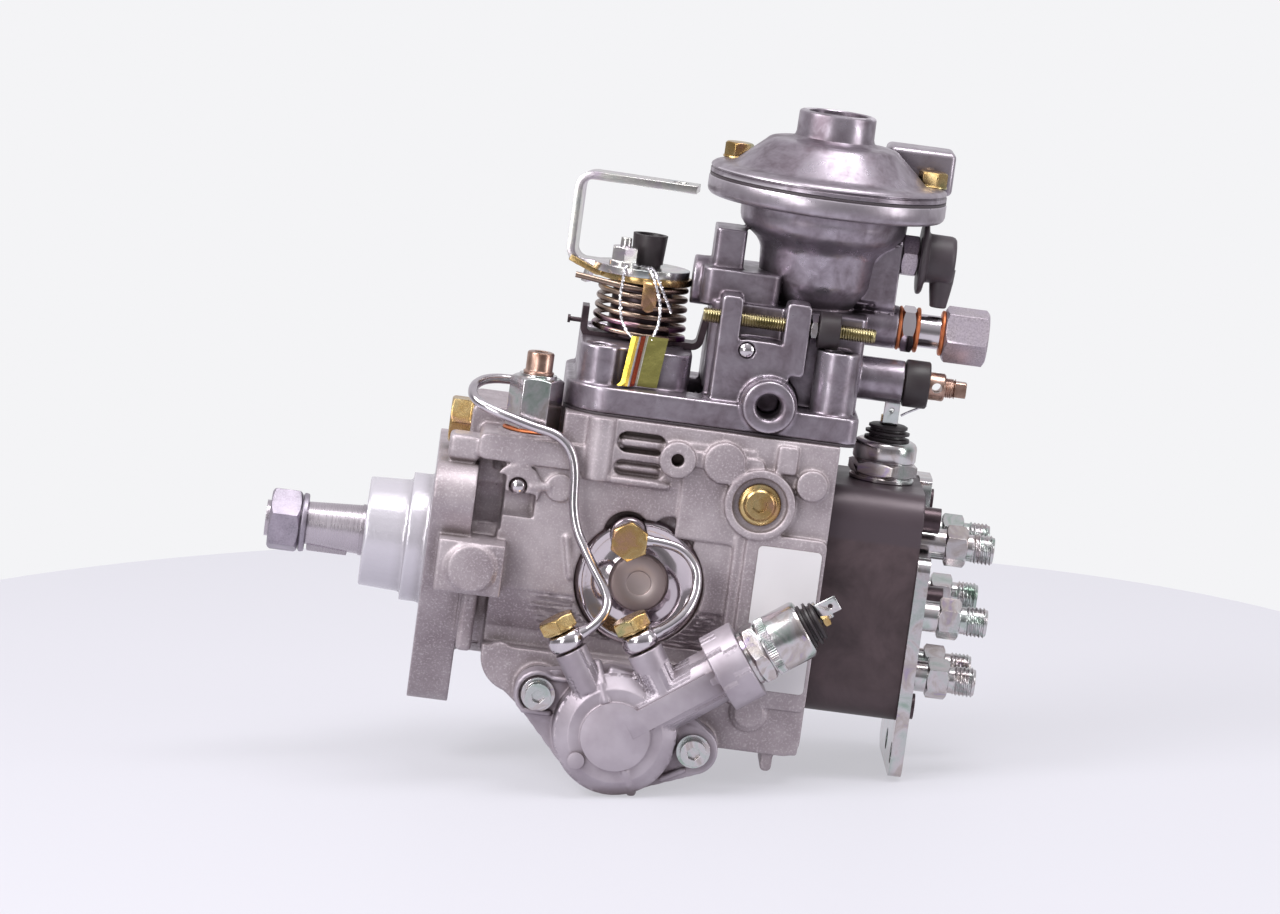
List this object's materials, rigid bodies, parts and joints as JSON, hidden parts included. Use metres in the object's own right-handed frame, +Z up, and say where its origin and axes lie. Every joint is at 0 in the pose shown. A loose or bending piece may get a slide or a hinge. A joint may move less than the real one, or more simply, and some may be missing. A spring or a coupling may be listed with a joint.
{
  "type": "diesel injection pump",
  "caption": "Distributor type diesel injection pump with boost compensator, strip throttle lever, timing solenoid, shut-off solenoid and threaded outlets.",
  "frame": {"origin": "on the drive shaft axis, in the mounting face of the flange", "axes": "+X along the drive shaft from the drive end to the outlets, +Z up through the governor cover, -Y towards the side with the pipes"},
  "size_m": [0.2811, 0.1469, 0.264],
  "materials": {
    "cast_aluminium": "sand cast, fine grained",
    "diecast_aluminium": "die cast, mottled satin",
    "satin_aluminium": "fine blasted casting",
    "steel": "ground",
    "spring_steel": "oil tempered",
    "clear_zinc": "clear zinc plated",
    "gold_zinc": "yellow zinc plated",
    "copper_plated": "copper coloured plating",
    "phosphate": "dark phosphate",
    "black_steel": "black oxide",
    "copper": "soft copper",
    "bronze": "sintered bush",
    "black_plastic": "moulded",
    "black_rubber": "moulded",
    "label": "blank sticker"
  },
  "bodies": {
    "pump_body": {"housing": "cast_aluminium", "shaft_bush": "bronze", "seals": "black_rubber", "supply_pump_ring": "steel", "governor_shaft": "steel", "distributor_head": "phosphate", "head_screws": "black_steel", "delivery_valve_holders": "clear_zinc", "rear_bracket": "clear_zinc", "shutoff_solenoid": "clear_zinc", "terminals": "black_plastic", "governor_cover": "diecast_aluminium", "cover_bolts": "clear_zinc", "boost_cover": "diecast_aluminium", "boost_diaphragm": "black_rubber", "boost_cover_screws": "gold_zinc", "boost_spring": "steel", "vent_adaptor": "clear_zinc", "vent_boot": "black_rubber", "return_union": "clear_zinc", "copper_washers": "copper", "full_load_screw": "gold_zinc", "tamper_sleeves": "black_plastic", "stop_screw": "gold_zinc", "pressure_valve": "clear_zinc", "pressure_valve_screw": "copper_plated", "housing_plugs": "gold_zinc", "ball_plugs": "steel", "label": "label", "side_cover": "clear_zinc", "timing_cover": "satin_aluminium", "timing_cover_far": "satin_aluminium", "timing_spring": "steel", "timing_solenoid": "clear_zinc", "banjo_bolts": "gold_zinc", "bypass_pipes": "clear_zinc", "tamper_seal": "gold_zinc", "plunger_springs": "steel", "lever_return_spring": "spring_steel", "governor_spring": "steel"},
    "drive": {"drive_shaft": "steel", "shaft_nut": "clear_zinc", "shaft_key": "steel", "supply_pump_rotor": "steel", "drive_gear": "steel", "cross_disc": "steel", "cam_plate": "steel", "plunger": "steel"},
    "flyweights": {"flyweight_cage": "steel"},
    "governor_sleeve_body": {"governor_sleeve": "steel"},
    "governor_lever_body": {"governor_levers": "steel"},
    "control_sleeve_body": {"control_sleeve": "steel"},
    "roller_ring_body": {"roller_ring": "steel"},
    "timing_piston_body": {"timing_piston": "steel"},
    "throttle": {"throttle_shaft": "steel", "shaft_cap": "black_plastic", "throttle_lever": "clear_zinc", "spring_plate": "gold_zinc"},
    "boost_pin_body": {"boost_pin": "steel"},
    "armature": {"shutoff_armature": "steel"}
  },
  "joints": [
    {"name": "drive_spin", "type": "hinge", "parent": "pump_body", "child": "drive", "pos_m": [0, 0, 0], "axis": [1, 0, 0], "continuous": true},
    {"name": "governor_spin", "type": "hinge", "parent": "pump_body", "child": "flyweights", "pos_m": [0.04, 0, 0.04], "axis": [1, 0, 0], "continuous": true},
    {"name": "governor_sleeve_slide", "type": "slide", "parent": "pump_body", "child": "governor_sleeve_body", "axis": [1, 0, 0], "range_m": [0, 0.003], "stiffness_N_per_m": 1500, "springref_m": -0.002},
    {"name": "governor_lever_hinge", "type": "hinge", "parent": "pump_body", "child": "governor_lever_body", "pos_m": [0.1152, 0, 0.027], "axis": [0, 1, 0], "range_deg": [0, 14.1], "deforming": ["governor_spring"]},
    {"name": "control_sleeve_slide", "type": "slide", "parent": "pump_body", "child": "control_sleeve_body", "axis": [1, 0, 0], "range_m": [-0.00363, 0]},
    {"name": "timing_piston_slide", "type": "slide", "parent": "pump_body", "child": "timing_piston_body", "axis": [0, 1, 0], "range_m": [0, 0.008], "stiffness_N_per_m": 3000, "springref_m": -0.002, "deforming": ["timing_spring"]},
    {"name": "roller_ring_hinge", "type": "hinge", "parent": "pump_body", "child": "roller_ring_body", "pos_m": [0.0803, 0, 0], "axis": [1, 0, 0], "range_deg": [0, 8.42]},
    {"name": "throttle_hinge", "type": "hinge", "parent": "pump_body", "child": "throttle", "pos_m": [0.0705, 0, 0.1], "axis": [0, 0, 1], "range_deg": [0, 40], "stiffness_Nm_per_rad": 0.5, "springref_deg": -22.92},
    {"name": "boost_pin_slide", "type": "slide", "parent": "pump_body", "child": "boost_pin_body", "axis": [0, 0, -1], "range_m": [0, 0.005], "stiffness_N_per_m": 4000, "springref_m": -0.003, "deforming": ["boost_spring"]},
    {"name": "shutoff_slide", "type": "slide", "parent": "pump_body", "child": "armature", "axis": [0, 0, 1], "range_m": [0, 0.0015], "stiffness_N_per_m": 1500, "springref_m": -0.002}
  ],
  "couplings": [
    {"joint": "governor_spin", "follows": "drive_spin", "ratio": -1.56},
    {"joint": "governor_lever_hinge", "follows": "governor_sleeve_slide", "rad_per_m": 81.7},
    {"joint": "control_sleeve_slide", "follows": "governor_sleeve_slide", "ratio": -1.2083},
    {"joint": "roller_ring_hinge", "follows": "timing_piston_slide", "rad_per_m": 18.35}
  ]
}
